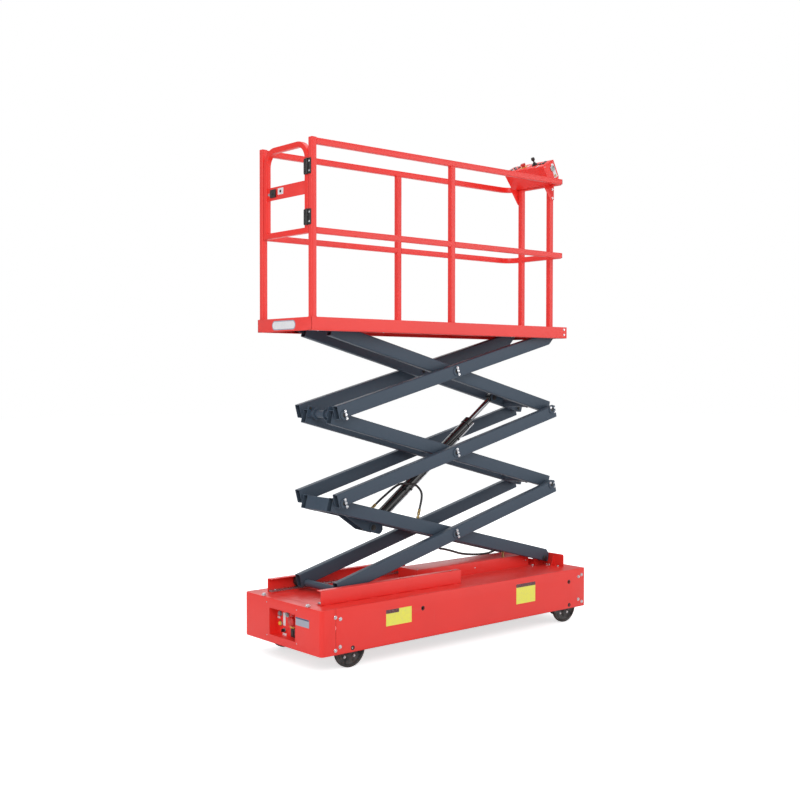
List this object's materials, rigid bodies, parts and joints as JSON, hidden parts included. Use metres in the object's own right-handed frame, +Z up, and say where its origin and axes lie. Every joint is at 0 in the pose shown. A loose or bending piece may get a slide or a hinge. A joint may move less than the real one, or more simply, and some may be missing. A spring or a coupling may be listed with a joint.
{
  "type": "scissor lift",
  "caption": "Battery scissor lift for work between rows: low box chassis on flanged pipe-rail wheels, three scissor stages, a long narrow platform with guard rails, gate and console",
  "frame": {"origin": "on the ground, under the middle of the chassis", "axes": "+X toward the end with the control console, -X toward the gate, +Y toward the side with the bent guard rail, +Z up"},
  "size_m": [2.447, 0.848, 3.4843],
  "materials": {
    "red_paint": "glossy red powder coat",
    "grey_paint": "satin anthracite powder coat",
    "black_paint": "glossy black paint",
    "steel": "turned bright steel",
    "chrome": "hard chrome, ground",
    "brass": "yellow-plated fitting",
    "rubber": "matte hose cover",
    "black_plastic": "matte black",
    "red_plastic": "glossy red",
    "cast_iron": "machined casting"
  },
  "bodies": {
    "chassis": {"chassis_frame": "black_paint", "front_cover": "red_paint", "rear_cover": "red_paint", "side_panel_near": "red_paint", "side_panel_far": "red_paint", "deck_plate": "red_paint", "centre_cover": "red_paint", "power_pack": "black_plastic", "control_recess": "red_paint", "ground_stop_button": "red_plastic", "roller_track_near": "red_paint", "roller_track_far": "red_paint", "base_bracket_near": "red_paint", "base_bracket_far": "red_paint", "base_shaft": "steel", "hose_lower": "rubber", "deck_fitting": "brass"},
    "front_axle": {"front_axle": "steel", "front_wheel_near": "cast_iron", "front_wheel_far": "cast_iron"},
    "rear_axle": {"rear_axle": "steel", "rear_wheel_near": "cast_iron", "rear_wheel_far": "cast_iron"},
    "inner_1": {"inner_frame_1": "grey_paint", "arm_fitting_upper": "brass", "arm_fitting_lower": "brass"},
    "outer_1": {"outer_arm_1_near": "grey_paint", "outer_arm_1_far": "grey_paint", "base_roller_shaft": "grey_paint", "base_roller_near": "black_plastic", "base_roller_far": "black_plastic"},
    "inner_2": {"inner_frame_2": "grey_paint"},
    "outer_2": {"outer_arm_2_near": "grey_paint", "outer_arm_2_far": "grey_paint"},
    "inner_3": {"inner_frame_3": "grey_paint", "top_roller_shaft": "grey_paint", "top_roller_near": "black_plastic", "top_roller_far": "black_plastic"},
    "outer_3": {"outer_arm_3_near": "grey_paint", "outer_arm_3_far": "grey_paint"},
    "cylinder_barrel": {"cylinder_barrel": "black_paint", "hose_upper": "rubber"},
    "cylinder_rod": {"cylinder_rod": "chrome"},
    "platform": {"platform_frame": "red_paint", "platform_floor": "red_paint", "platform_end_plate": "red_paint", "guard_rail_near": "red_paint", "guard_rail_far": "red_paint", "gate_hinge_top": "black_plastic", "gate_hinge_bottom": "black_plastic", "console": "red_paint", "console_bracket_near": "red_paint", "console_bracket_far": "red_paint", "joystick": "black_plastic", "console_stop_button": "red_plastic"},
    "gate": {"gate": "red_paint", "gate_latch": "black_plastic"}
  },
  "joints": [
    {"name": "front_axle_spin", "type": "hinge", "parent": "chassis", "child": "front_axle", "pos_m": [-0.95, 0, 0.12], "axis": [0, 1, 0], "continuous": true},
    {"name": "rear_axle_spin", "type": "hinge", "parent": "chassis", "child": "rear_axle", "pos_m": [1.075, 0, 0.12], "axis": [0, 1, 0], "continuous": true},
    {"name": "lift", "type": "hinge", "parent": "chassis", "child": "inner_1", "pos_m": [1.07, 0, 0.452], "axis": [0, 1, 0], "range_deg": [-12, 14], "deforming": ["hose_lower"]},
    {"name": "middle_pivot_1", "type": "hinge", "parent": "inner_1", "child": "outer_1", "pos_m": [0.08615, 0, 0.73411], "axis": [0, -1, 0], "range_deg": [-24.01, 28.01]},
    {"name": "side_pivot_1", "type": "hinge", "parent": "outer_1", "child": "inner_2", "pos_m": [1.07, 0, 1.01623], "axis": [0, 1, 0], "range_deg": [-24.01, 28.01]},
    {"name": "middle_pivot_2", "type": "hinge", "parent": "inner_2", "child": "outer_2", "pos_m": [0.08615, 0, 1.29835], "axis": [0, -1, 0], "range_deg": [-24.01, 28.01]},
    {"name": "side_pivot_2", "type": "hinge", "parent": "outer_2", "child": "inner_3", "pos_m": [1.07, 0, 1.58046], "axis": [0, 1, 0], "range_deg": [-24.01, 28.01]},
    {"name": "middle_pivot_3", "type": "hinge", "parent": "inner_3", "child": "outer_3", "pos_m": [0.08615, 0, 1.86257], "axis": [0, -1, 0], "range_deg": [-24.01, 28.01]},
    {"name": "platform_pivot", "type": "hinge", "parent": "outer_3", "child": "platform", "pos_m": [1.07, 0, 2.14469], "axis": [0, 1, 0], "range_deg": [-12.01, 14.01]},
    {"name": "barrel_pivot", "type": "hinge", "parent": "inner_1", "child": "cylinder_barrel", "pos_m": [-0.5126, 0, 0.8101], "axis": [0, -1, 0], "range_deg": [-29.41, 34.31], "deforming": ["hose_upper"]},
    {"name": "rod_slide", "type": "slide", "parent": "cylinder_barrel", "child": "cylinder_rod", "axis": [0.8052, 0, 0.5929], "range_m": [-0.2267, 0.2644]},
    {"name": "gate_hinge", "type": "hinge", "parent": "platform", "child": "gate", "pos_m": [-1.1985, -0.244, 3], "axis": [0, 0, 1], "range_deg": [0, 100]}
  ],
  "couplings": [
    {"joint": "middle_pivot_1", "follows": "lift", "ratio": 2},
    {"joint": "side_pivot_1", "follows": "lift", "ratio": 2},
    {"joint": "middle_pivot_2", "follows": "lift", "ratio": 2},
    {"joint": "side_pivot_2", "follows": "lift", "ratio": 2},
    {"joint": "middle_pivot_3", "follows": "lift", "ratio": 2},
    {"joint": "platform_pivot", "follows": "lift", "ratio": 1},
    {"joint": "barrel_pivot", "follows": "lift", "ratio": 2.45},
    {"joint": "rod_slide", "follows": "lift", "m_per_rad": 1.08}
  ]
}
